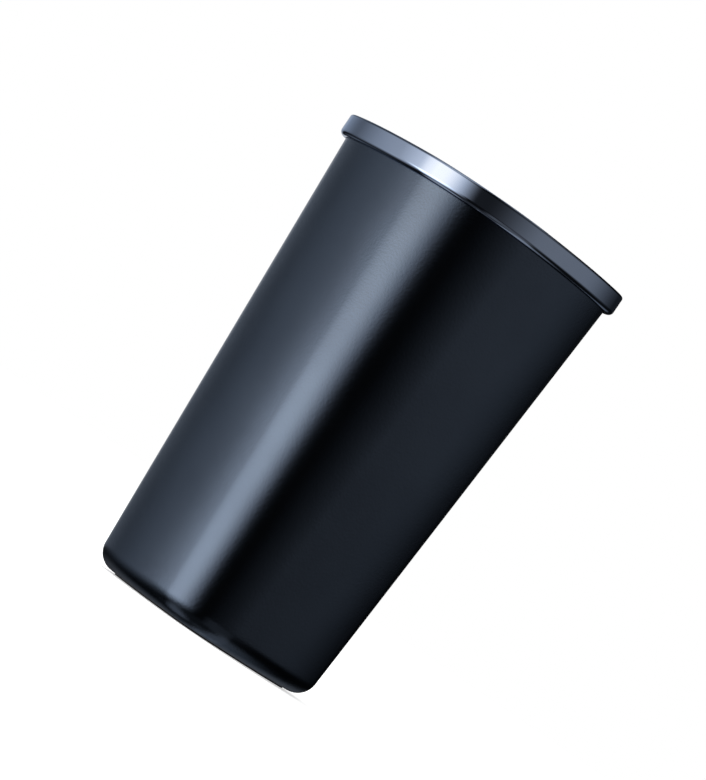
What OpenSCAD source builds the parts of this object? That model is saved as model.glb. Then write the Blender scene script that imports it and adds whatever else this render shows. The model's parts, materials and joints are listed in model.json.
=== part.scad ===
// Car trash bin: a tapered cup with a rounded three-cornered plan, a bag ring and a
// press-on lid with a sprung flap. Millimetres, +Z up, one corner of the plan on -Y.
// Every wall follows one plan outline. A point of a wall profile is [x, z], where x is
// the distance outside the outline that the wall has at the seam under the band.

/* [Body] */
// Overall height, from the foot pad to the top of the band
body_h = 170; // [140:1:200]
// Radius of the plan's three corners at the seam
corner_r = 27.5; // [25:0.5:31]
// Distance of the corner centres from the middle
corner_spread = 27.6; // [25:0.2:31]
// Distance of the centres of the three side arcs from the middle
side_spread = 104; // [80:1:140]
// Draft of the wall on each side, in degrees
draft = 3.5; // [2:0.1:3.8]
// Wall thickness
wall = 1.8; // [1.4:0.1:2]
// Thickness of the floor
floor_t = 2.6; // [2.2:0.1:4]
// Outside radius between the wall and the floor
foot_r = 7.2; // [5:0.2:8]

/* [Foot pad] */
// Thickness of the pad
pad_t = 1.3; // [1:0.1:1.6]
// How far the pad stands below the shell
pad_proud = 0.5; // [0.3:0.1:0.8]
// Flat border around the pad's recess
pad_border = 1; // [0.6:0.1:2]
// Clearance around the pad in its recess
pad_gap = 0.25; // [0.1:0.05:0.5]

/* [Rim band] */
// Height of the band
band_h = 7.6; // [7:0.1:9]
// How far the band stands out from the wall
band_out = 2.9; // [2.2:0.1:4]
// Radius of the band's lower edge
band_low_r = 1.8; // [1:0.1:2]
// Radius of the band's upper edge
band_top_r = 0.9; // [0.4:0.1:1.2]
// Thickness of the band's inward flange
band_flange_t = 1.4; // [1.2:0.1:1.6]
// Reach of that flange inside the outline
band_flange_in = 2.4; // [2:0.1:2.8]
// Clearance between the band and the shell's lip
band_gap = 0.25; // [0.15:0.05:0.4]

/* [Bag ring] */
// Thickness of the bag ring
bag_ring_t = 1.1; // [0.9:0.1:1.2]
// Depth of the bag ring below the seam
bag_ring_deep = 12; // [8:0.5:20]
// Clearance between the bag ring and the shell
bag_gap = 0.25; // [0.2:0.05:0.4]

/* [Lid] */
// Width of the lid's border between the outline and the mouth
mouth_in = 10; // [9.6:0.1:11]
// Width of that border behind the mouth, over the hinge
back_border_w = 16.7; // [16:0.1:18]
// Thickness of the lid's border
bezel_t = 2; // [1.8:0.1:2.4]
// Drop of the lid's border below the top of the band
bezel_drop = 0.6; // [0.4:0.1:0.8]
// Distance of the skirt's outer face inside the outline
skirt_in = 4.4; // [4.2:0.1:4.6]
// Thickness of the skirt
skirt_t = 1.6; // [1.4:0.1:1.8]
// Depth of the skirt below the lid's border
skirt_deep = 9.4; // [8.5:0.1:11]
// Height of the lid seal
seal_h = 2.2; // [1.8:0.1:2.6]
// Depth of the seal's groove
groove_deep = 0.8; // [0.6:0.1:0.9]

/* [Flap] */
// Gap around the flap in the mouth
flap_gap = 0.7; // [0.5:0.05:1]
// Thickness of the tray under the flap
tray_t = 2.4; // [2:0.1:2.8]
// Thickness of the tray's flange
flange_t = 1.2; // [1:0.1:1.4]
// How far in front of the mouth's back edge the tray's flange stops
flange_stop = 8; // [7:0.5:12]
// Height of the flap seal
flap_seal_h = 1.1; // [0.9:0.05:1.15]

/* [Hinge] */
// Diameter of the hinge pin
pin_d = 2.5; // [2:0.1:2.8]
// Running clearance in the bores, on the radius
pin_gap = 0.05; // [0.04:0.01:0.1]
// Outside radius of the flap's barrels
barrel_r = 3; // [2.6:0.1:3.1]
// Length of each of the flap's two barrels
barrel_w = 11; // [8:0.5:13]
// Width of each ear that carries the pin
ear_w = 4; // [3:0.2:5]
// Space between the ears and the skirt
ear_side = 3.4; // [3:0.1:5]
// Diameter of the spring wire
wire_d = 0.8; // [0.6:0.05:0.9]

/* [Hidden] */
$fn = 64;
eps = 0.5;
hair = 0.01;

// The plan's arcs: the link joins a corner centre to the centre of a side arc.
link = sqrt(side_spread * side_spread + corner_spread * corner_spread + side_spread * corner_spread);
half_side = asin(corner_spread * sqrt(3) / 2 / link);
half_corner = 60 - half_side;

// The plan's back side and its half width, grown by g, at a depth behind the corner centres
back_y = corner_r + link - side_spread;
function half_w(y, g) =
  corner_spread * cos(30) + sqrt(pow(corner_r + g, 2) - pow(y - corner_spread / 2, 2));

// The stack of levels at the mouth, from the top down
seam_z = body_h - band_h;
shoulder_z = body_h - band_flange_t;
shoulder_t = 1.85;
seat_gap = 0.15;
bag_flange_t = 1;
lip_z = shoulder_z - shoulder_t - seat_gap - bag_flange_t;
bezel_z = body_h - bezel_drop;
under_z = bezel_z - bezel_t;
skirt_z = under_z - skirt_deep;
seal_z = skirt_z + 1.7;
seal_slack = 0.1;

// The flap's levels and edges
tray_z = under_z - tray_t;
tray_in = 1.3;
flange_in = mouth_in - 1.8;
mouth_back = back_y - back_border_w;
flap_back_y = mouth_back - 0.6;
flange_back_y = mouth_back - flange_stop;

// The hinge axis lies under the lid's border, just behind the flap.
pin_y = mouth_back + 3.5;
pin_z = under_z - barrel_r - 0.4;
bore_r = pin_d / 2 + pin_gap;
turns = 5;
pitch = wire_d * 0.94;
ear_out = half_w(pin_y, -skirt_in - skirt_t) - ear_side;
ear_x = [ear_out - ear_w, ear_out];
coil_x = ear_x[0] - 0.6 - wire_d / 2 - pitch * (turns - 1);
barrel_out = coil_x - wire_d / 2 - 2.2;
barrel_x = [barrel_out - barrel_w, barrel_out];
coil_r = pin_d / 2 + 0.3 + wire_d / 2;

// Screws that hold the tray to the flap's panel
screw_x = corner_spread * 0.72;
screw_at = [[-screw_x, screw_x / 2], [screw_x, screw_x / 2], [0, -1.5 * screw_x]];
screw_r = 0.9;
screw_head_r = 1.9;
screw_head_h = 1;

// The shell's wall and floor
base_z = pad_proud;
recess_z = pad_t;
inside_z = base_z + floor_t;
inside_r = foot_r - wall;
wall_x = wall / cos(draft);
function out_x(z) = -(seam_z - z) * tan(draft);
foot_c = [out_x(base_z + foot_r) - foot_r / cos(draft), base_z + foot_r];
inside_c = [out_x(inside_z + inside_r) - wall_x - inside_r / cos(draft), inside_z + inside_r];
recess_x = foot_c[0] - pad_border;
inner_x = 3 - corner_r;
middle_turn = half_corner - 9;

function arc(c, r, a0, a1, n) =
  [for (i = [0:n]) let (a = a0 + (a1 - a0) * i / n) [c[0] + r * cos(a), c[1] + r * sin(a)]];

// The plan outline grown by g, as points: an arc round each corner, then the side arc after it
function outline(g) = [
  for (a = [30, 150, 270]) each concat(
    arc([corner_spread * cos(a), corner_spread * sin(a)], corner_r + g, a - half_corner, a + half_corner, 16),
    [for (i = [1:5]) let (b = a + 60 - half_side + half_side * i / 3)
      [(corner_r + link + g) * cos(b) - side_spread * cos(a + 60),
       (corner_r + link + g) * sin(b) - side_spread * sin(a + 60)]]
  )
];

// Carries a wall profile round the plan: three turns about the corner centres and three about
// the centres of the side arcs. The corners overlap the sides and lie a hair inside them, which
// keeps every face a true surface and gives the pieces clean crossings.
module around() {
  for (a = [30, 150, 270]) {
    translate([corner_spread * cos(a), corner_spread * sin(a), 0])
      rotate_extrude(start = a - half_corner - 1, angle = 2 * half_corner + 2)
        translate([corner_r - hair, 0]) children();
    translate([side_spread * cos(a), side_spread * sin(a), 0])
      rotate_extrude(start = a + 180 - half_side, angle = 2 * half_side)
        translate([corner_r + link, 0]) children();
  }
}

// A ring between two profiles, each listed from its lower end to its upper end
module ring(outer, inner) {
  around() polygon(concat(outer, [for (i = [len(inner) - 1:-1:0]) inner[i]]));
}

// The floor's middle, which closes the ring that the swept profile leaves
module middle(reach, z0, z1) {
  translate([0, 0, z0])
    linear_extrude(z1 - z0)
      polygon([
        for (a = [30, 150, 270], d = [-middle_turn, middle_turn])
          [corner_spread * cos(a) + reach * cos(a + d), corner_spread * sin(a) + reach * sin(a + d)]
      ]);
}

// A flat plate inside the outline, cut straight at the back
module plate(g, z0, z1, back_y) {
  translate([0, 0, z0])
    linear_extrude(z1 - z0)
      intersection() {
        polygon(outline(g));
        translate([-body_h, -body_h]) square([2 * body_h, body_h + back_y]);
      }
}

// A rod along X between two positions, at a height and depth
module rod(x0, x1, y, z, r) {
  translate([x0, y, z]) rotate([0, 90, 0]) cylinder(r = r, h = x1 - x0);
}

module outer_shell() {
  color("#2a2f38") {
    ring(
      concat([[recess_x, base_z]], arc(foot_c, foot_r, -90, -draft, 8), [[0, seam_z], [0, lip_z]]),
      concat(
        [[recess_x, recess_z], [inner_x, recess_z], [inner_x, inside_z]],
        arc(inside_c, inside_r, -90, -draft, 6), [[-wall_x, seam_z], [-wall_x, lip_z]]
      )
    );
    middle(corner_r + recess_x - 1.8, recess_z, inside_z);
  }
}

module base_pad() {
  color("#1b1b1c") plate(recess_x - pad_gap, 0, recess_z, body_h);
}

module bag_ring() {
  top_x = -wall_x - bag_gap;
  low_z = seam_z - bag_ring_deep;
  low_x = top_x + out_x(low_z);
  color("#44474c") ring(
    [[low_x, low_z], [top_x, seam_z], [top_x, lip_z], [-0.3, lip_z], [-0.3, lip_z + bag_flange_t]],
    [[low_x - bag_ring_t, low_z], [top_x - bag_ring_t, seam_z], [top_x - bag_ring_t, lip_z + bag_flange_t]]
  );
}

module rim_band() {
  color("#5d6570") ring(
    concat(
      arc([band_out - band_low_r, seam_z + band_low_r], band_low_r, -90, 0, 5),
      arc([band_out - band_top_r, body_h - band_top_r], band_top_r, 0, 90, 4)
    ),
    [[band_gap, seam_z], [band_gap, shoulder_z], [-band_flange_in, shoulder_z], [-band_flange_in, body_h]]
  );
}

module lid_frame() {
  skirt_x = -skirt_in - skirt_t;
  groove_x = -skirt_in - groove_deep;
  color("#202327") difference() {
    union() {
      ring(
        [[-skirt_in, skirt_z], [-skirt_in, seal_z - 0.1], [groove_x, seal_z - 0.1],
         [groove_x, seal_z + seal_h + 0.1], [-skirt_in, seal_z + seal_h + 0.1],
         [-skirt_in, shoulder_z - shoulder_t], [0.1, shoulder_z - shoulder_t], [0.1, shoulder_z],
         [-band_flange_in - 0.15, shoulder_z], [-band_flange_in - 0.15, bezel_z]],
        [[skirt_x, skirt_z], [skirt_x, under_z], [-mouth_in, under_z], [-mouth_in, bezel_z - 0.4],
         [0.4 - mouth_in, bezel_z]]
      );
      back_border();
      for (s = [-1, 1]) ear(s);
    }
    rod(-corner_spread - corner_r, ear_x[1] - 0.6, pin_y, pin_z, bore_r);
  }
}

// The border behind the mouth, which covers the hinge
module back_border() {
  translate([0, 0, under_z])
    linear_extrude(bezel_t)
      intersection() {
        polygon(outline(2 - mouth_in));
        translate([-body_h, mouth_back]) square([2 * body_h, body_h]);
      }
}

// One of the two ears that carry the pin
module ear(s) {
  x0 = s < 0 ? -ear_x[1] : ear_x[0];
  rod(x0, x0 + ear_x[1] - ear_x[0], pin_y, pin_z, barrel_r);
  translate([x0, pin_y - barrel_r, pin_z])
    cube([ear_x[1] - ear_x[0], 2 * barrel_r, under_z - pin_z + eps]);
}

module lid_seal() {
  face_x = -wall_x - bag_gap - bag_ring_t + out_x(seal_z) - seal_slack;
  back_x = -skirt_in - groove_deep + 0.05;
  color("#151516") ring(
    [[face_x - 0.5, seal_z], [face_x, seal_z + 0.6], [face_x, seal_z + seal_h - 0.6],
     [face_x - 0.5, seal_z + seal_h]],
    [[back_x, seal_z], [back_x, seal_z + seal_h]]
  );
}

module hinge_pin() {
  color("#b9bcc0") rod(-ear_x[1] + 0.4, ear_x[1] - 0.8, pin_y, pin_z, pin_d / 2);
}

// A torsion spring round the pin: one leg bears on the lid's border, the other lifts the tray.
module torsion_spring(s) {
  far_x = coil_x + pitch * (turns - 1);
  leg_y = 11;
  rise = tray_z - wire_d / 2 - 0.05 - (pin_z - coil_r);
  color("#a9acb0") scale([s, 1, 1]) {
    for (i = [0:turns - 1])
      translate([coil_x + pitch * i, pin_y, pin_z])
        rotate([0, 90, 0])
          rotate_extrude() translate([coil_r, 0]) circle(d = wire_d);
    translate([far_x, pin_y, pin_z + coil_r])
      rotate([-90, 0, 0]) cylinder(d = wire_d, h = 3.4);
    translate([coil_x, pin_y, pin_z - coil_r])
      rotate([90 - atan(rise / leg_y), 0, 0]) cylinder(d = wire_d, h = norm([leg_y, rise]));
  }
}

module flap_panel() {
  g = -mouth_in - flap_gap;
  color("#2c3036") difference() {
    union() {
      plate(g, under_z, bezel_z - 0.4, flap_back_y);
      plate(g - 0.4, under_z, bezel_z, flap_back_y);
    }
    for (p = screw_at)
      translate([p[0], p[1], under_z - eps]) cylinder(r = screw_r + 0.05, h = 1.3 + eps);
  }
}

module flap_back() {
  color("#24272b") difference() {
    union() {
      plate(-mouth_in - tray_in, tray_z, under_z, flap_back_y - 0.2);
      plate(-flange_in, tray_z, tray_z + flange_t, flange_back_y);
      for (s = [-1, 1]) barrel(s);
    }
    for (s = [-1, 1])
      rod(s < 0 ? -barrel_x[1] - 1 : barrel_x[0] - 1, s < 0 ? 1 - barrel_x[0] : barrel_x[1] + 1,
        pin_y, pin_z, bore_r);
    for (p = screw_at) translate([p[0], p[1], tray_z]) {
      translate([0, 0, -eps]) cylinder(r = screw_head_r + 0.15, h = screw_head_h + 0.2 + eps);
      cylinder(r = screw_r + 0.1, h = tray_t + eps);
    }
  }
}

// A barrel that turns on the pin, and the arm that joins it to the tray
module barrel(s) {
  x0 = s < 0 ? -barrel_x[1] : barrel_x[0];
  rod(x0, x0 + barrel_x[1] - barrel_x[0], pin_y, pin_z, barrel_r);
  translate([x0, flap_back_y - 3, pin_z - barrel_r + 0.6])
    cube([barrel_x[1] - barrel_x[0], pin_y - flap_back_y + 3, 2 * barrel_r - 1.2]);
}

module flap_seal() {
  color("#151516") difference() {
    plate(-flange_in - 0.2, tray_z + flange_t, tray_z + flange_t + flap_seal_h, flange_back_y - 0.2);
    plate(-flange_in - 2.2, tray_z, under_z, body_h);
  }
}

module flap_screws() {
  color("#8f9296") for (p = screw_at) translate([p[0], p[1], tray_z + 0.2]) difference() {
    union() {
      cylinder(r = screw_head_r, h = screw_head_h);
      cylinder(r = screw_r, h = tray_t + 0.9);
    }
    for (t = [0, 90]) rotate([0, 0, t]) translate([-1.1, -0.2, -eps]) cube([2.2, 0.4, eps + 0.6]);
  }
}

outer_shell();
base_pad();
bag_ring();
rim_band();
lid_frame();
lid_seal();
hinge_pin();
torsion_spring(-1);  // spring_left
torsion_spring(1);  // spring_right
flap_panel();
flap_back();
flap_seal();
flap_screws();
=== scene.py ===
import json
import math

import bmesh
import bpy
import numpy as np
from mathutils import Matrix, Vector


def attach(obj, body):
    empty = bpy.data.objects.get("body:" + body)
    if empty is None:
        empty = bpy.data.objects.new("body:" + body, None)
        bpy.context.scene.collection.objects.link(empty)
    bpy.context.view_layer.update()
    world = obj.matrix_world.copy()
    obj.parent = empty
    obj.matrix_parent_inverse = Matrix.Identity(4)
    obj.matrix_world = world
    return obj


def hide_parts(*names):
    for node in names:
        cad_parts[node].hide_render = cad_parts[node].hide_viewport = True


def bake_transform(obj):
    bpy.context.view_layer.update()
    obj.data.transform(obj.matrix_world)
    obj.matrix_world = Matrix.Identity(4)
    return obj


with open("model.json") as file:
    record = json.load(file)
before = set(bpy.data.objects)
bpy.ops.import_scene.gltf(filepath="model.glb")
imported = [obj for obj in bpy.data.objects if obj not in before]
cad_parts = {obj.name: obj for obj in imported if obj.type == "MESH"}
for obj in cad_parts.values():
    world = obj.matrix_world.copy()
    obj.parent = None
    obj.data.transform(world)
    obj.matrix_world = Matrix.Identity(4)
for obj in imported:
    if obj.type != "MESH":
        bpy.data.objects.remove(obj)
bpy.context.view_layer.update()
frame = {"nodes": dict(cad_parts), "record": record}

# Sizes of the bin in millimetres, as its source has them, but for the band's reach: its skin stays a hair inside
MM = 0.001
BODY_H = 170.0
CORNER_R = 27.5
CORNER_SPREAD = 27.6
SIDE_SPREAD = 104.0
DRAFT = math.radians(3.5)
WALL = 1.8
FLOOR_T = 2.6
FOOT_R = 7.2
PAD_T = 1.3
PAD_PROUD = 0.5
PAD_BORDER = 1.0
PAD_GAP = 0.25
BAND_H = 7.6
BAND_OUT = 2.875
BAND_LOW_R = 1.8
BAND_TOP_R = 0.9
BAND_GAP = 0.25
FLANGE_T = 1.4
FLANGE_IN = 2.4
LIP_DROP = 3.0
BEZEL_DROP = 0.6
BEZEL_T = 2.0
MOUTH_IN = 10.0
BACK_BORDER = 16.7
FLAP_GAP = 0.7
FLAP_BACK_GAP = 0.6
TRAY_T = 2.4
PIN_BACK = 3.5
PIN_DROP = 3.4

SEAM_Z = BODY_H - BAND_H
LIP_Z = BODY_H - FLANGE_T - LIP_DROP
BEZEL_Z = BODY_H - BEZEL_DROP
UNDER_Z = BEZEL_Z - BEZEL_T

# The plan's corner arcs and side arcs meet on the lines through their centres, which are LINK apart
LINK = math.sqrt(SIDE_SPREAD ** 2 + CORNER_SPREAD ** 2 + SIDE_SPREAD * CORNER_SPREAD)
HALF_SIDE = math.asin(CORNER_SPREAD * math.sqrt(3) / 2 / LINK)
HALF_CORNER = math.radians(60) - HALF_SIDE
MOUTH_BACK = CORNER_R + LINK - SIDE_SPREAD - BACK_BORDER
PIN_Y = MOUTH_BACK + PIN_BACK
PIN_Z = UNDER_Z - PIN_DROP

# Edges that turn more than this, in degrees, are shaded sharp
SHARP = 34
SHARP_WIRE = 50
# Points of a mesh that lie nearer than this, in metres, become one
MERGE = 1e-7


# ---------- shader and node helpers ----------

class Socket:
    """A socket of a node tree that can be used in plain sums."""

    def __init__(self, tree, socket):
        self.tree = tree
        self.socket = socket

    def _math(self, operation, *values):
        return self.tree.add("ShaderNodeMath", {"operation": operation}, dict(enumerate(values)))

    def __add__(self, other): return self._math("ADD", self, other)
    def __radd__(self, other): return self._math("ADD", other, self)
    def __sub__(self, other): return self._math("SUBTRACT", self, other)
    def __rsub__(self, other): return self._math("SUBTRACT", other, self)
    def __mul__(self, other): return self._math("MULTIPLY", self, other)
    def __rmul__(self, other): return self._math("MULTIPLY", other, self)
    def __truediv__(self, other): return self._math("DIVIDE", self, other)

    def ramp(self, low, high, soft=True):
        """0 below low, 1 above high, and a slope between them."""
        kind = "SMOOTHSTEP" if soft else "LINEAR"
        return self.tree.add("ShaderNodeMapRange", {"interpolation_type": kind},
                             {"Value": self, "From Min": low, "From Max": high})


class Tree:
    """Adds nodes to a node tree, one method for every kind of node."""

    def __init__(self, tree):
        self.nodes = tree.nodes
        self.links = tree.links

    def add(self, kind, settings=None, values=None, out=0):
        """A new node with its settings and inputs. Gives back one of its outputs, or the node if it has none."""
        node = self.nodes.new(kind)
        for name, value in (settings or {}).items():
            setattr(node, name, value)
        for name, value in (values or {}).items():
            if isinstance(value, Socket):
                self.links.new(value.socket, node.inputs[name])
            else:
                node.inputs[name].default_value = value
        return Socket(self, node.outputs[out]) if node.outputs else node


def mix(tree, amount, low, high):
    """A colour between two colours."""
    return tree.add("ShaderNodeMix", {"data_type": "RGBA"}, {0: amount, 6: low, 7: high}, out=2)


def new_material(name):
    """A material without nodes, and its tree."""
    material = bpy.data.materials.new(name)
    material.use_nodes = True
    material.node_tree.nodes.clear()
    return material, Tree(material.node_tree)


def noise(tree, where, scale, detail=3.0):
    """Noise between 0 and 1, with its scale in bumps to the metre."""
    return tree.add("ShaderNodeTexNoise", {}, {
        "Vector": where, "Scale": scale, "Detail": detail, "Roughness": 0.55})


def object_place(tree):
    """The place on the object itself, in metres."""
    return tree.add("ShaderNodeTexCoord", out=3)


def stretched(tree, place, scale):
    """A place scaled by axis, which draws noise out into streaks or lines."""
    return tree.add("ShaderNodeMapping", {}, {"Vector": place, "Scale": scale})


def finish_material(tree, values, bump, depth):
    """Ends a material in a Principled shader, with a height in metres as bump."""
    values["Normal"] = tree.add("ShaderNodeBump", {}, {"Height": bump, "Strength": 1.0, "Distance": depth})
    shader = tree.add("ShaderNodeBsdfPrincipled", {}, values)
    tree.add("ShaderNodeOutputMaterial", {}, {"Surface": shader})


def anodised_shell():
    """Satin blue-black anodised metal with a fine blasted grain and a slightly worn foot."""
    material, t = new_material("anodised_shell")
    place = object_place(t)
    height = t.add("ShaderNodeSeparateXYZ", {}, {0: place}, out=2)
    grain = noise(t, place, 1350.0)
    cloud = noise(t, place, 26.0, 4.0)
    smears = noise(t, stretched(t, place, (1.0, 1.0, 0.18)), 60.0)
    worn = (1 - height.ramp(0.0006, 0.0026)) * noise(t, place, 420.0).ramp(0.42, 0.62)
    colour = mix(t, cloud.ramp(0.3, 0.7), (0.054, 0.0675, 0.091, 1), (0.061, 0.0765, 0.1025, 1))
    colour = mix(t, worn * 0.28, colour, (0.22, 0.235, 0.255, 1))
    finish_material(t, {
        "Base Color": colour, "Metallic": 1.0, "Specular Tint": (0.58, 0.62, 0.68, 1),
        "Roughness": 0.215 + (smears - 0.5) * 0.05 + (cloud - 0.5) * 0.03,
    }, bump=grain, depth=0.00005)
    return material


def polished_band():
    """Darkened polished metal with very faint turning marks."""
    material, t = new_material("polished_band")
    place = object_place(t)
    lines = noise(t, stretched(t, place, (1.0, 1.0, 60.0)), 55.0, 2.0)
    cloud = noise(t, place, 40.0)
    colour = mix(t, cloud.ramp(0.3, 0.7), (0.288, 0.345, 0.455, 1), (0.308, 0.366, 0.478, 1))
    finish_material(t, {
        "Base Color": colour, "Metallic": 1.0, "Specular Tint": (0.6, 0.67, 0.78, 1),
        "Roughness": 0.095 + (cloud - 0.5) * 0.03,
    }, bump=lines, depth=0.0000012)
    return material


def moulded_plastic(name, dark, light, rough, grain_scale=1500.0, depth=0.000012):
    """Spark-eroded plastic: a fine pebble grain with slight cloudiness."""
    material, t = new_material(name)
    place = object_place(t)
    pebbles = t.add("ShaderNodeTexVoronoi", {"feature": "SMOOTH_F1"}, {"Vector": place, "Scale": grain_scale})
    cloud = noise(t, place, 35.0, 4.0)
    colour = mix(t, cloud.ramp(0.3, 0.7), (*dark, 1), (*light, 1))
    finish_material(t, {
        "Base Color": colour, "Roughness": rough + (cloud - 0.5) * 0.05,
        "Specular IOR Level": 0.45,
    }, bump=pebbles + noise(t, place, grain_scale * 2.1, 2.0) * 0.4, depth=depth)
    return material


def soft_rubber(name, dark, light):
    """Matt rubber with a dry bloom."""
    material, t = new_material(name)
    place = object_place(t)
    bloom = noise(t, place, 160.0, 5.0)
    colour = mix(t, bloom.ramp(0.35, 0.75), (*dark, 1), (*light, 1))
    finish_material(t, {
        "Base Color": colour, "Roughness": 0.78 + (bloom - 0.5) * 0.15,
        "Specular IOR Level": 0.3,
    }, bump=noise(t, place, 2600.0), depth=0.000015)
    return material


def drawn_steel():
    """Bright drawn steel wire and rod, with drawing lines along X."""
    material, t = new_material("drawn_steel")
    place = object_place(t)
    lines = noise(t, stretched(t, place, (0.05, 1.0, 1.0)), 3800.0, 2.0)
    colour = mix(t, lines.ramp(0.3, 0.7), (0.50, 0.51, 0.53, 1), (0.60, 0.61, 0.63, 1))
    finish_material(t, {
        "Base Color": colour, "Metallic": 1.0, "Roughness": 0.26 + (lines - 0.5) * 0.1,
    }, bump=lines, depth=0.000004)
    return material


MATERIALS = {
    "shell": anodised_shell(),
    "band": polished_band(),
    "lid": moulded_plastic("lid_plastic", (0.018, 0.0195, 0.0235), (0.022, 0.0245, 0.0285), 0.46),
    "flap": moulded_plastic("flap_plastic", (0.0285, 0.0325, 0.0395), (0.0315, 0.0355, 0.0435), 0.38,
                            grain_scale=1900.0, depth=0.000006),
    "tray": moulded_plastic("tray_plastic", (0.022, 0.024, 0.027), (0.03, 0.032, 0.036), 0.5),
    "ring": moulded_plastic("ring_plastic", (0.052, 0.057, 0.064), (0.066, 0.071, 0.078), 0.48),
    "seal": soft_rubber("seal_rubber", (0.010, 0.010, 0.011), (0.018, 0.018, 0.019)),
    "pad": soft_rubber("pad_rubber", (0.012, 0.012, 0.013), (0.022, 0.022, 0.023)),
    "steel": drawn_steel(),
}


# ---------- shape helpers ----------

# An arc of the plan has at least this many steps
MIN_STEPS = 8


def plan_outline(grow=0.0, step=1.0):
    """Points of the plan, anticlockwise from the right-hand corner, grown outwards."""
    points = []
    for corner in (30, 150, 270):
        a = math.radians(corner)
        r = CORNER_R + grow
        n = max(MIN_STEPS, round(2 * HALF_CORNER * CORNER_R / step))
        for t in np.linspace(a - HALF_CORNER, a + HALF_CORNER, n + 1):
            points.append((CORNER_SPREAD * math.cos(a) + r * math.cos(t),
                           CORNER_SPREAD * math.sin(a) + r * math.sin(t)))
        b = a + math.radians(60)
        r = CORNER_R + LINK + grow
        n = max(MIN_STEPS, round(2 * HALF_SIDE * (CORNER_R + LINK) / step))
        for t in np.linspace(b - HALF_SIDE, b + HALF_SIDE, n + 1)[1:-1]:
            points.append((r * math.cos(t) - SIDE_SPREAD * math.cos(b),
                           r * math.sin(t) - SIDE_SPREAD * math.sin(b)))
    return points


def arc(centre, r, start, end, n):
    """Points of an arc in n steps, from one angle to another in degrees."""
    return [(centre[0] + r * math.cos(t), centre[1] + r * math.sin(t))
            for t in np.radians(np.linspace(start, end, n + 1))]


def out_x(z):
    """Distance of the wall outside the plan at a height."""
    return -(SEAM_Z - z) * math.tan(DRAFT)


def add_object(name, data):
    """A new object in the scene."""
    made = bpy.data.objects.new(name, data)
    bpy.context.scene.collection.objects.link(made)
    return made


def mesh_object(name, work, finish):
    """An object with the faces of a bmesh, in one material."""
    mesh = bpy.data.meshes.new(name)
    work.to_mesh(mesh)
    work.free()
    mesh.materials.append(finish)
    return add_object(name, mesh)


def poly_curve(name, points, closed):
    """A curve object through points in millimetres."""
    curve = bpy.data.curves.new(name, "CURVE")
    curve.dimensions = "3D"
    spline = curve.splines.new("POLY")
    spline.points.add(len(points) - 1)
    flat = np.ones((len(points), 4))
    flat[:, :3] = np.array(points, float) * MM
    spline.points.foreach_set("co", flat.ravel())
    spline.use_cyclic_u = closed
    return add_object(name, curve)


def geometry_tree(name, inputs):
    """An empty Geometry Nodes tree and its inputs by name, asked for as name to socket type."""
    group = bpy.data.node_groups.new(name, "GeometryNodeTree")
    group.interface.new_socket("Geometry", in_out="INPUT", socket_type="NodeSocketGeometry")
    for label, kind in inputs.items():
        group.interface.new_socket(label, in_out="INPUT", socket_type=kind)
    group.interface.new_socket("Geometry", in_out="OUTPUT", socket_type="NodeSocketGeometry")
    t = Tree(group)
    given = {socket.name: Socket(t, socket) for socket in group.nodes.new("NodeGroupInput").outputs}
    return group, t, given


def end_geometry_tree(t, mesh, finish):
    """Ends a tree in a smooth, real mesh in one material."""
    smooth = t.add("GeometryNodeSetShadeSmooth", {}, {0: mesh})
    real = t.add("GeometryNodeRealizeInstances", {}, {0: smooth})
    dressed = t.add("GeometryNodeSetMaterial", {}, {"Geometry": real, "Material": finish})
    t.add("NodeGroupOutput", {}, {0: dressed})


def sweep_tree():
    """Carries a profile round a closed plan curve, as the skins of the shell, the band and the pad are made."""
    group, t, given = geometry_tree("wall_round_plan", {
        "Profile": "NodeSocketObject", "Finish": "NodeSocketMaterial"})
    profile = t.add("GeometryNodeObjectInfo", {}, {"Object": given["Profile"]}, out=4)
    walls = t.add("GeometryNodeCurveToMesh", {}, {"Curve": given["Geometry"], "Profile Curve": profile})
    end_geometry_tree(t, walls, given["Finish"])
    return group


SWEEP = sweep_tree()


def reworked(mesh, change, angle):
    """Makes a change to a mesh, points its faces outwards and keeps real edges sharp."""
    work = bmesh.new()
    work.from_mesh(mesh)
    change(work)
    bmesh.ops.recalc_face_normals(work, faces=work.faces)
    work.to_mesh(mesh)
    work.free()
    mesh.set_sharp_from_angle(angle=math.radians(angle))


def run_tree(carrier, group, values, name, angle):
    """Runs a tree on an object, and returns its result as a plain mesh object without doubled points."""
    modifier = carrier.modifiers.new("make", "NODES")
    modifier.node_group = group
    for item in group.interface.items_tree:
        if item.in_out == "INPUT" and item.name in values:
            modifier[item.identifier] = values[item.name]
    graph = bpy.context.evaluated_depsgraph_get()
    mesh = bpy.data.meshes.new_from_object(carrier.evaluated_get(graph), depsgraph=graph)
    mesh.name = name
    made = add_object(name, mesh)
    bpy.data.objects.remove(carrier)
    reworked(mesh, lambda work: bmesh.ops.remove_doubles(work, verts=work.verts, dist=MERGE), angle)
    return made


def swept(name, profile, finish, closed=True):
    """A wall whose profile, [outward, up] in millimetres, follows the plan all round."""
    section = poly_curve(name + "_section", [(x, -z, 0) for x, z in profile], closed)
    path = poly_curve(name + "_path", [(x, y, 0) for x, y in plan_outline()], True)
    made = run_tree(path, SWEEP, {"Profile": section, "Finish": finish}, name, SHARP)
    bpy.data.objects.remove(section)
    return made


# Where an open profile ends near the middle of the plan, for fill_middle to close
HUB = 2.0 - CORNER_R


def fill_middle(piece):
    """Closes the two openings that an open profile leaves round the middle of the plan."""
    reworked(piece.data, lambda work: bmesh.ops.holes_fill(
        work, edges=[e for e in work.edges if e.is_boundary], sides=0), SHARP)
    return piece


# ---------- the shell ----------

FOOT_X = out_x(PAD_PROUD + FOOT_R) - FOOT_R / math.cos(DRAFT)
RECESS_BEVEL = 0.15
LIP_BEVEL = 0.3
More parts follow.
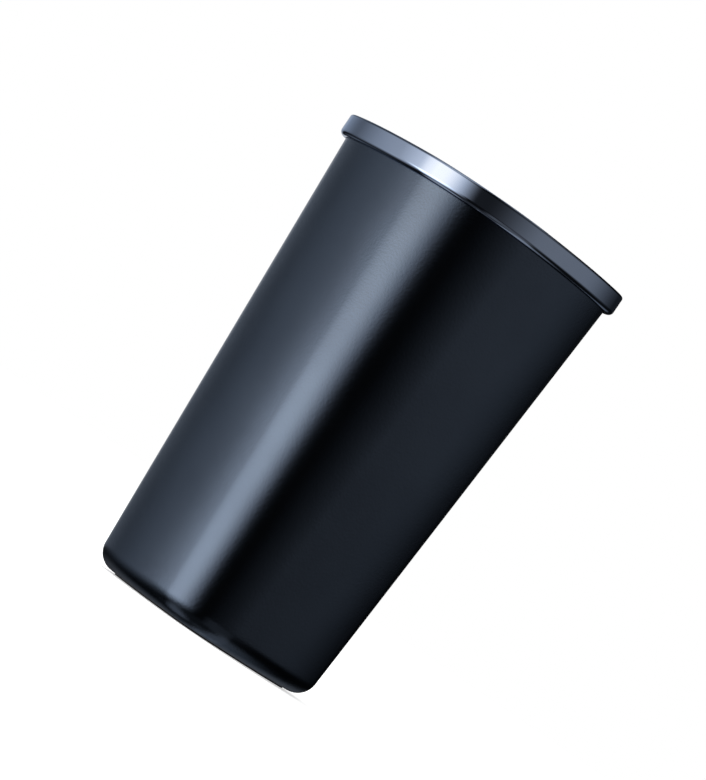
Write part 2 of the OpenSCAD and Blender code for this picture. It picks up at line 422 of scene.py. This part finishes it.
# How finely the profile is cut, outside and inside
WALL_ROWS = {"outside": 40, "inside": 24}
FOOT_STEPS = {"outside": 24, "inside": 14}
# The rows keep this clear of the foot's arc and of the seam
FOOT_CLEAR = 1.0
SEAM_CLEAR = {"outside": 0.4, "inside": 0.6}


def make_shell():
    """The cup: one closed skin from the floor's middle, round the foot, over the lip and back inside."""
    draft = math.degrees(DRAFT)
    wall_x = WALL / math.cos(DRAFT)
    recess = FOOT_X - PAD_BORDER
    foot = (FOOT_X, PAD_PROUD + FOOT_R)
    inside_r = FOOT_R - WALL
    inside_z = PAD_PROUD + FLOOR_T
    inner = (out_x(inside_z + inside_r) - wall_x - inside_r / math.cos(DRAFT), inside_z + inside_r)
    rise = [(out_x(z), z) for z in np.linspace(
        foot[1] + FOOT_CLEAR, SEAM_Z - SEAM_CLEAR["outside"], WALL_ROWS["outside"])]
    drop = [(out_x(z) - wall_x, z) for z in np.linspace(
        SEAM_Z - SEAM_CLEAR["inside"], inner[1] + FOOT_CLEAR, WALL_ROWS["inside"])]
    profile = (
        [(HUB, PAD_T), (recess, PAD_T), (recess, PAD_PROUD + RECESS_BEVEL), (recess + RECESS_BEVEL, PAD_PROUD)]
        + arc(foot, FOOT_R, -90, -draft, FOOT_STEPS["outside"]) + rise
        + [(0, SEAM_Z), (0, LIP_Z - LIP_BEVEL), (-LIP_BEVEL, LIP_Z),
           (LIP_BEVEL - wall_x, LIP_Z), (-wall_x, LIP_Z - LIP_BEVEL), (-wall_x, SEAM_Z)]
        + drop + arc(inner, inside_r, -draft, -90, FOOT_STEPS["inside"]) + [(HUB, inside_z)]
    )
    return fill_middle(swept("shell_skin", profile, MATERIALS["shell"], closed=False))


shell_skin = make_shell()
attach(shell_skin, "bin")
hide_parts("outer_shell")


# ---------- the rim band ----------

FLANGE_BEVEL = 0.15
# How finely its lower edge, its face and its upper edge are cut, and how far the face's rows keep clear of the edges
BAND_STEPS = {"low": 14, "face": 6, "top": 10}
BAND_CLEAR = 0.4


def make_band():
    """The band with its rounded lower and upper edges, and its flange inwards over the lid's border."""
    low = (BAND_OUT - BAND_LOW_R, SEAM_Z + BAND_LOW_R)
    top = (BAND_OUT - BAND_TOP_R, BODY_H - BAND_TOP_R)
    profile = (
        arc(low, BAND_LOW_R, -90, 0, BAND_STEPS["low"])
        + [(BAND_OUT, z) for z in np.linspace(low[1] + BAND_CLEAR, top[1] - BAND_CLEAR, BAND_STEPS["face"])]
        + arc(top, BAND_TOP_R, 0, 90, BAND_STEPS["top"])
        + [(0.6, BODY_H), (FLANGE_BEVEL - FLANGE_IN, BODY_H), (-FLANGE_IN, BODY_H - FLANGE_BEVEL),
           (-FLANGE_IN, BODY_H - FLANGE_T), (BAND_GAP, BODY_H - FLANGE_T), (BAND_GAP, SEAM_Z)]
    )
    return swept("band_skin", profile, MATERIALS["band"])


band_skin = make_band()
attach(band_skin, "lid")
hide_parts("rim_band")


# ---------- the foot pad ----------

PAD_BEVEL = 0.2
PAD_EDGE_R = 0.3
PAD_EDGE_STEPS = 4
GROOVE_DEEP = 0.4
GROOVE_W = 0.9
GROOVE_SLOPE = 0.25
GROOVE_PITCH = 1.75
# The first groove from the pad's edge, and where the last may be from the hub
GROOVE_FROM_EDGE = 1.9
GROOVE_FROM_HUB = 1.6
# The slope into the flat hollow in the pad's middle
HOLLOW_SLOPE = 0.3


def make_pad():
    """Rubber foot whose outer part has fine ribs that run parallel to its edge."""
    edge = FOOT_X - PAD_BORDER - PAD_GAP
    profile = [(HUB, PAD_T), (edge - PAD_BEVEL, PAD_T), (edge, PAD_T - PAD_BEVEL), (edge, PAD_EDGE_R)]
    profile += arc((edge - PAD_EDGE_R, PAD_EDGE_R), PAD_EDGE_R, 0, -90, PAD_EDGE_STEPS)
    x = edge - GROOVE_FROM_EDGE
    while x > HUB + GROOVE_FROM_HUB:
        profile += [(x, 0), (x - GROOVE_SLOPE, GROOVE_DEEP),
                    (x - GROOVE_W + GROOVE_SLOPE, GROOVE_DEEP), (x - GROOVE_W, 0)]
        x -= GROOVE_PITCH
    profile += [(x, 0), (x - HOLLOW_SLOPE, GROOVE_DEEP), (HUB, GROOVE_DEEP)]
    return fill_middle(swept("foot_pad", profile, MATERIALS["pad"], closed=False))


foot_pad = make_pad()
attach(foot_pad, "bin")
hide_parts("base_pad")


# ---------- the flap ----------

FLAP_EDGE_R = 0.42
FLAP_EDGE_STEPS = 5
FLAP_STEP = 0.8
# Points of the outline keep this clear of the cut's corners
CLEAR_OF_CORNER = 1.0


def cut_straight(ring, back):
    """The part of a closed anticlockwise ring in front of a straight cut, with the two corners that the cut makes."""
    def crossing(one, other):
        f = (back - one[1]) / (other[1] - one[1])
        return one[0] + f * (other[0] - one[0]), back

    start = max(range(len(ring)), key=lambda i: ring[i][1] >= back and ring[i - 1][1] < back)
    ring = ring[start:] + ring[:start]
    first = min(i for i, p in enumerate(ring) if p[1] < back)
    left = crossing(ring[first - 1], ring[first])
    right = crossing(ring[-1], ring[0])
    return [left] + [p for p in ring[first:] if p[1] < back - CLEAR_OF_CORNER] + [right]


def drawn_in(ring, distance):
    """A convex anticlockwise ring moved inwards, with its corners kept."""
    points = np.array(ring)
    ahead = np.roll(points, -1, axis=0) - points
    ahead /= np.linalg.norm(ahead, axis=1)[:, None]
    inward = np.stack([-ahead[:, 1], ahead[:, 0]], axis=1)
    before = np.roll(inward, 1, axis=0)
    share = 1 + (before * inward).sum(axis=1)
    return points + distance * (before + inward) / share[:, None]


def make_flap():
    """The flap's moulded plate: the plan drawn in, cut off straight at the hinge, with a softened upper edge."""
    outline = cut_straight(plan_outline(-MOUTH_IN - FLAP_GAP, FLAP_STEP), MOUTH_BACK - FLAP_BACK_GAP)
    edge = arc((FLAP_EDGE_R, BEZEL_Z - FLAP_EDGE_R), FLAP_EDGE_R, 180, 90, FLAP_EDGE_STEPS)
    work = bmesh.new()
    rings = [[work.verts.new((x * MM, y * MM, z * MM)) for x, y in drawn_in(outline, inset)]
             for inset, z in [(0, UNDER_Z)] + edge]
    for low, high in zip(rings, rings[1:]):
        for i in range(len(low)):
            work.faces.new((low[i - 1], low[i], high[i], high[i - 1]))
    work.faces.new(rings[0])
    work.faces.new(rings[-1])
    bmesh.ops.recalc_face_normals(work, faces=work.faces)
    made = mesh_object("flap_plate", work, MATERIALS["flap"])
    made.data.shade_smooth()
    made.data.set_sharp_from_angle(angle=math.radians(SHARP))
    return made


flap_plate = make_flap()
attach(flap_plate, "flap")
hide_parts("flap_panel")


# ---------- the hinge springs ----------

WIRE_D = 0.74
WIRE_SIDES = 14
COIL_R = 1.95
COIL_PITCH = 0.76
COIL_TURNS = 4.25
STEPS_A_TURN = 28
COIL_X = 26.03
# The long leg: its reach, its clearance under the tray, the share of it at which the coil takes over, its points
LEG_Y = 11.0
LEG_CLEAR = 0.05
LEG_START = 0.06
LEG_POINTS = 12
# The short leg: the height over the pin at which it leaves the coil, its bend, its reach
SHORT_LEG_RISE = 0.5
BEND_R = 0.95
BEND_POINTS = 8
SHORT_LEG_Y = 3.4


def wire_tree():
    """Draws a round wire along a path of any shape, closed at both ends."""
    group, t, given = geometry_tree("wire_along_path", {
        "Wire": "NodeSocketFloat", "Sides": "NodeSocketInt", "Finish": "NodeSocketMaterial"})
    ring = t.add("GeometryNodeCurvePrimitiveCircle", {"mode": "RADIUS"},
                 {"Resolution": given["Sides"], "Radius": given["Wire"]})
    wire = t.add("GeometryNodeCurveToMesh", {}, {
        "Curve": given["Geometry"], "Profile Curve": ring, "Fill Caps": True})
    end_geometry_tree(t, wire, given["Finish"])
    return group


WIRE = wire_tree()


def make_spring(name, side):
    """A torsion spring: long leg up under the flap, the coil round the pin, short bent leg in the lid."""
    bottom = PIN_Z - COIL_R
    tip_z = UNDER_Z - TRAY_T - WIRE_D / 2 - LEG_CLEAR
    path = [(COIL_X, PIN_Y - LEG_Y * f, bottom + (tip_z - bottom) * f)
            for f in np.linspace(1, LEG_START, LEG_POINTS)]
    steps = round(COIL_TURNS * STEPS_A_TURN)
    for i in range(steps + 1):
        a = math.radians(-90 + 360 * COIL_TURNS * i / steps)
        path.append((COIL_X + COIL_PITCH * COIL_TURNS * i / steps, PIN_Y + COIL_R * math.cos(a),
                     PIN_Z + COIL_R * math.sin(a)))
    far = COIL_X + COIL_PITCH * COIL_TURNS
    path += [(far, PIN_Y + COIL_R, PIN_Z + SHORT_LEG_RISE)]
    path += [(far, PIN_Y + COIL_R + BEND_R - BEND_R * math.cos(a), PIN_Z + COIL_R - BEND_R + BEND_R * math.sin(a))
             for a in np.radians(np.linspace(0, 90, BEND_POINTS))]
    path += [(far, PIN_Y + SHORT_LEG_Y, PIN_Z + COIL_R)]
    line = poly_curve(name + "_line", [(side * x, y, z) for x, y, z in path], False)
    values = {"Wire": WIRE_D / 2 * MM, "Sides": WIRE_SIDES, "Finish": MATERIALS["steel"]}
    return run_tree(line, WIRE, values, name, SHARP_WIRE)


for name, node, side in (("spring_wire_left", "spring_left", -1), ("spring_wire_right", "spring_right", 1)):
    spring = make_spring(name, side)
    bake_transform(spring)
    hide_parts(node)


# ---------- CAD pieces that keep their shape ----------

for item in frame["record"]["subparts"]:
    node = frame["nodes"][item["node"]]
    for i in range(len(node.data.materials)):
        node.data.materials[i] = MATERIALS[item["material_slot"]]


# ---------- the camera ----------

# The photograph's view, fitted to the outline: degrees and metres, and millimetres for the lens
AZIMUTH = 2.4
DISTANCE = 2.021
EYE_Z = 0.0478
TILT = 34.25
PITCH = 1.318
PAN = -0.0547
LENS = 284.3
SENSOR = 36


def make_camera():
    """The photograph's view: a long lens from just above the foot, rolled so that the bin leans."""
    data = bpy.data.cameras.new("photo_camera")
    data.lens = LENS
    data.sensor_width = SENSOR
    data.clip_end = 50
    camera = add_object("photo_camera", data)
    a = math.radians(AZIMUTH)
    camera.location = (DISTANCE * math.sin(a), -DISTANCE * math.cos(a), EYE_Z)
    turn = Matrix.Rotation(a - math.radians(PAN), 4, "Z")
    pitch = Matrix.Rotation(math.radians(90 + PITCH), 4, "X")
    roll = Matrix.Rotation(math.radians(TILT), 4, "Z")
    camera.rotation_mode = "QUATERNION"
    camera.rotation_quaternion = (turn @ pitch @ roll).to_quaternion()
    bpy.context.scene.camera = camera


make_camera()


# ---------- the studio ----------

# The cards stand upright round the bin. Each grows from the first to the second angle of its rise and fades over
# its fall, in degrees left (-) or right of the camera. Its strength is "low" below eye level, which the tapered
# wall shows, and "high" above it, which the upright band shows. Downwards it fades from FULL_LIFT to nothing at
# its "foot". "near_floor" is its share of strength below NEAR_LIFT, if that isn't 1. An "even" one grows in a
# straight line.
SOFT_BOX = {"rise": (-101, -76), "fall": (-66, -17), "low": 1.85, "high": 0.0, "foot": -52, "even": True}
SOFT_BOX_EDGE = {"rise": (-110, -100), "fall": (-66, -17), "low": 2.5, "high": 0.0, "foot": -42}
SOFT_BOX_TOP = {"rise": (-112, -74), "fall": (-62, -8), "low": 0.0, "high": 2.75, "foot": -20, "even": True}
LEFT_CARD = {"rise": (-154, -112), "fall": (-95, -70), "low": 0.7, "high": 0.75, "foot": -36, "near_floor": 1.25}
RIGHT_CARD = {"rise": (4, 108), "fall": (116, 142), "low": 0.28, "high": 0.335, "foot": -16, "near_floor": 0.45}
CARDS = (SOFT_BOX, SOFT_BOX_EDGE, SOFT_BOX_TOP, LEFT_CARD, RIGHT_CARD)
REAR_LEFT_CARD = {"rise": (-200, -190), "fall": (-154, -137), "low": 0.62, "high": 0.75, "lift": (-9, -3)}
DARK_LEVEL = {"low": 0.009, "high": 0.026}
FULL_LIFT = -8
NEAR_LIFT = (-7, -1)
EYE_LIFT = (-1.5, 2.5)
# Above HIGH_LIFT, this share of the cards' light is gone
HIGH_LIFT = (8, 18)
HIGH_LOSS = 0.675

# Light from near the floor for the rounded foot, with the lifts over which it grows and fades
LEFT_FLOOR = {"rise": (-150, -122), "fall": (-100, -50), "lift": ((-82, -68), (-50, -38)), "level": 0.6}
RIGHT_FLOOR = {"rise": (60, 110), "lift": ((-82, -68), (-46, -32)), "level": 0.44}
ROUND_FLOOR = {"lift": ((-82, -68), (-54, -42)), "level": 0.05}
FLOOR_GLOW = {"left": 0.06, "right": 0.16, "lift": (-84, -74)}

# Two low boxes and one overhead, placed by how far a direction points to the rear or to the right, from -1 to 1
LOW_BOX_LIFT = ((-62, -46), (-17, -11))
REAR_BOX = {"rearward": (0.86, 0.96), "left_share": 0.4, "level": 0.3}
RIGHT_FRONT_CARD = {"rightward": (0.05, 0.45), "rearward": (-0.2, 0.3), "level": 0.15}
OVERHEAD_REAR_BOX = {"rearward": (0.2, 0.8), "lift": ((40, 50), (72, 80)), "level": 0.5}

# Dim light is slightly blue. Bright light is near white below eye level, and warm above it, where the blue band
# would tint it.
DIM_TO_BRIGHT = (0.6, 3.4)
DIM_TINT = (0.975, 0.99, 1.02, 1)
BRIGHT_TINT_LOW = (0.98, 0.985, 0.975, 1)
BRIGHT_TINT_HIGH = (1.14, 1.0, 0.83, 1)

# The white's strength as light on matt surfaces
AMBIENT = 0.55
# The studio's wall: metres, and degrees up and down from the level
WALL_RADIUS = 4.0
WALL_REACH = 88
WALL_RINGS = 45
WALL_SEGMENTS = 96
# The floor: metres, its grey, and the light of its own that takes it up to the white behind
FLOOR_RADIUS = 6.0
FLOOR_DROP = 0.0001
FLOOR_GREY = (0.82, 0.82, 0.82, 1)
FLOOR_SHINE = 0.56
WHITE = (1, 1, 1, 1)


def make_world():
    """White where it is seen straight, reflected or through something, and a softer white as light on the rest."""
    world = bpy.data.worlds.new("studio")
    world.use_nodes = True
    world.node_tree.nodes.clear()
    t = Tree(world.node_tree)
    seen = t.add("ShaderNodeLightPath", out=0)
    glossy = t.add("ShaderNodeLightPath", out=4)
    through = t.add("ShaderNodeLightPath", out=6)
    white = t.add("ShaderNodeMath", {"operation": "MAXIMUM"}, {0: seen, 1: glossy})
    white = t.add("ShaderNodeMath", {"operation": "MAXIMUM"}, {0: white, 1: through})
    shade = t.add("ShaderNodeBackground", {}, {
        "Color": WHITE, "Strength": AMBIENT + white * (1 - AMBIENT)})
    t.add("ShaderNodeOutputWorld", {}, {"Surface": shade})
    bpy.context.scene.world = world


make_world()


def between(angle, rise, fall, soft=True):
    """1 between the slopes of a rise and a fall, and 0 outside them."""
    return angle.ramp(*rise, soft) * (1 - angle.ramp(*fall))


def cards_round_bin(heading, lift, level):
    """The light of the upright cards, with the strength that they have low or high."""
    light = DARK_LEVEL[level]
    for card in CARDS:
        lit = between(heading, card["rise"], card["fall"], "even" not in card) * card[level]
        near = card.get("near_floor", 1.0)
        light = light + lit * lift.ramp(card["foot"], FULL_LIFT) * (near + (1 - near) * lift.ramp(*NEAR_LIFT, False))
    edge = between(heading, REAR_LEFT_CARD["rise"], REAR_LEFT_CARD["fall"]) * REAR_LEFT_CARD[level]
    return light + edge * lift.ramp(*REAR_LEFT_CARD["lift"])


def soft_box_and_cards():
    """The studio's light as a material: a strength and a tint for every direction from the bin."""
    material, t = new_material("soft_box_and_cards")
    way = t.add("ShaderNodeVectorMath", {"operation": "NORMALIZE"}, {0: object_place(t)})
    x, y, z = (t.add("ShaderNodeSeparateXYZ", {}, {0: way}, out=i) for i in range(3))
    lens = math.radians(AZIMUTH - 90)
    across = y * math.cos(lens) - x * math.sin(lens)
    along = x * math.cos(lens) + y * math.sin(lens)
    heading = t.add("ShaderNodeMath", {"operation": "ARCTAN2"}, {0: across, 1: along}) * math.degrees(1)
    lift = t.add("ShaderNodeMath", {"operation": "ARCSINE"}, {0: z}) * math.degrees(1)
    flat = t.add("ShaderNodeMath", {"operation": "SQRT"}, {0: across * across + along * along})
    rightward = across / flat
    rearward = (0 - along) / flat
    to_right = 0.5 + 0.5 * rightward

    above = lift.ramp(*EYE_LIFT)
    cards = cards_round_bin(heading, lift, "low") * (1 - above) + cards_round_bin(heading, lift, "high") * above
    cards = cards * (1 - HIGH_LOSS * lift.ramp(*HIGH_LIFT))
    left_floor = between(heading, LEFT_FLOOR["rise"], LEFT_FLOOR["fall"]) * between(lift, *LEFT_FLOOR["lift"])
    right_floor = heading.ramp(*RIGHT_FLOOR["rise"]) * between(lift, *RIGHT_FLOOR["lift"])
    round_floor = between(lift, *ROUND_FLOOR["lift"])
    floor = (left_floor * LEFT_FLOOR["level"] + right_floor * RIGHT_FLOOR["level"]
             + round_floor * ROUND_FLOOR["level"])
    glow = FLOOR_GLOW["left"] + to_right * (FLOOR_GLOW["right"] - FLOOR_GLOW["left"])
    glow = glow * (1 - lift.ramp(*FLOOR_GLOW["lift"]))
    left_share = REAR_BOX["left_share"]
    rear_box = rearward.ramp(*REAR_BOX["rearward"]) * (left_share + (1 - left_share) * to_right) * REAR_BOX["level"]
    front_card = (rightward.ramp(*RIGHT_FRONT_CARD["rightward"])
                  * (1 - rearward.ramp(*RIGHT_FRONT_CARD["rearward"])) * RIGHT_FRONT_CARD["level"])
    low_boxes = (rear_box + front_card) * between(lift, *LOW_BOX_LIFT)
    overhead = (rearward.ramp(*OVERHEAD_REAR_BOX["rearward"]) * between(lift, *OVERHEAD_REAR_BOX["lift"])
                * OVERHEAD_REAR_BOX["level"])

    level = cards + floor + glow + low_boxes + overhead
    bright = mix(t, above, BRIGHT_TINT_LOW, BRIGHT_TINT_HIGH)
    tint = mix(t, level.ramp(*DIM_TO_BRIGHT), DIM_TINT, bright)
    lit = t.add("ShaderNodeEmission", {}, {"Color": tint, "Strength": level})
    t.add("ShaderNodeOutputMaterial", {}, {"Surface": lit})
    return material


def make_studio_wall():
    """The soft box and the dark cards that stand round the bin, as one wall that only its polish shows."""
    work = bmesh.new()
    rings = []
    for rise in np.radians(np.linspace(-WALL_REACH, WALL_REACH, WALL_RINGS)):
        r = WALL_RADIUS * math.cos(rise)
        rings.append([work.verts.new((r * math.cos(a), r * math.sin(a), WALL_RADIUS * math.sin(rise)))
                      for a in np.linspace(0, 2 * math.pi, WALL_SEGMENTS + 1)[:-1]])
    for low, high in zip(rings, rings[1:]):
        for i in range(WALL_SEGMENTS):
            work.faces.new((low[i - 1], low[i], high[i], high[i - 1]))
    wall = mesh_object("studio_wall", work, soft_box_and_cards())
    wall.visible_camera = False
    wall.visible_diffuse = False
    wall.visible_transmission = False
    wall.visible_shadow = False


make_studio_wall()


def make_floor():
    """A pale floor that keeps the bin's shadow and runs into the white behind."""
    material, t = new_material("pale_floor")
    matt = t.add("ShaderNodeBsdfDiffuse", {}, {"Color": FLOOR_GREY})
    seen = t.add("ShaderNodeLightPath", out=0)
    lit = t.add("ShaderNodeEmission", {}, {"Color": WHITE, "Strength": seen * FLOOR_SHINE})
    both = t.add("ShaderNodeAddShader", {}, {0: matt, 1: lit})
    t.add("ShaderNodeOutputMaterial", {}, {"Surface": both})
    work = bmesh.new()
    bmesh.ops.create_circle(work, cap_ends=True, segments=WALL_SEGMENTS, radius=FLOOR_RADIUS)
    floor = mesh_object("studio_floor", work, material)
    floor.data.transform(Matrix.Translation((0, 0, -FLOOR_DROP)))
    floor.visible_glossy = False


make_floor()


BIN_MIDDLE = Vector((0, 0, 0.08))


def soft_lamp(name, place, size, power):
    """A square soft lamp aimed at the bin, which lights it without showing in the polish."""
    data = bpy.data.lights.new(name, "AREA")
    data.shape = "SQUARE"
    data.size = size
    data.energy = power
    lamp = add_object(name, data)
    lamp.location = place
    lamp.rotation_mode = "QUATERNION"
    lamp.rotation_quaternion = (BIN_MIDDLE - Vector(place)).to_track_quat("-Z", "Y")
    lamp.visible_camera = False
    lamp.visible_glossy = False


soft_lamp("over_lamp", (-0.3, -0.3, 1.6), 1.4, 22)
soft_lamp("side_lamp", (-1.3, -0.9, 0.9), 0.9, 9)

bpy.context.scene.view_settings.view_transform = "Standard"
